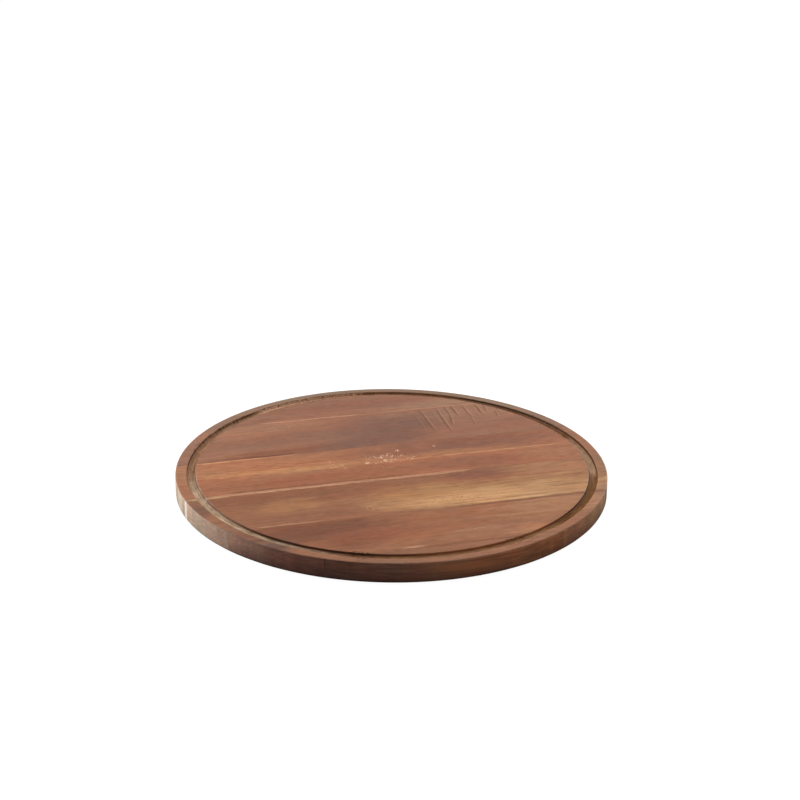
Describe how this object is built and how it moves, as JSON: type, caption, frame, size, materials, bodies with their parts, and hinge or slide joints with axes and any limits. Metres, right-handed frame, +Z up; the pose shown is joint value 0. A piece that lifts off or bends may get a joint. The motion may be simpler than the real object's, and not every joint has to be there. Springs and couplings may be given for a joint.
{
  "type": "cake plate",
  "caption": "Flat round wooden cake plate of edge-glued hardwood staves, with eased rims and a shallow round-bottomed groove near the edge of its serving face.",
  "frame": {"origin": "centre of the underside, on the surface the plate stands on", "axes": "+Z up out of the serving face, +X along the staves and their grain, +Y across the staves towards the back edge"},
  "size_m": [0.32, 0.32, 0.015],
  "materials": {
    "back_edge_wood": "oiled reddish-brown hardwood, satin",
    "back_wood": "oiled dark brown hardwood with grey streaks, satin",
    "centre_wood": "oiled orange-red hardwood, satin",
    "front_centre_wood": "oiled golden-brown hardwood, satin",
    "front_wood": "oiled reddish-brown hardwood, satin",
    "front_edge_wood": "oiled reddish-tan hardwood, satin",
    "glue": "cured wood glue, flush with the wood"
  },
  "bodies": {
    "root": {"back_edge_stave": "back_edge_wood", "back_stave": "back_wood", "centre_stave": "centre_wood", "front_centre_stave": "front_centre_wood", "front_stave": "front_wood", "front_edge_stave": "front_edge_wood", "glue_line_1": "glue", "glue_line_2": "glue", "glue_line_3": "glue", "glue_line_4": "glue", "glue_line_5": "glue"}
  },
  "joints": []
}
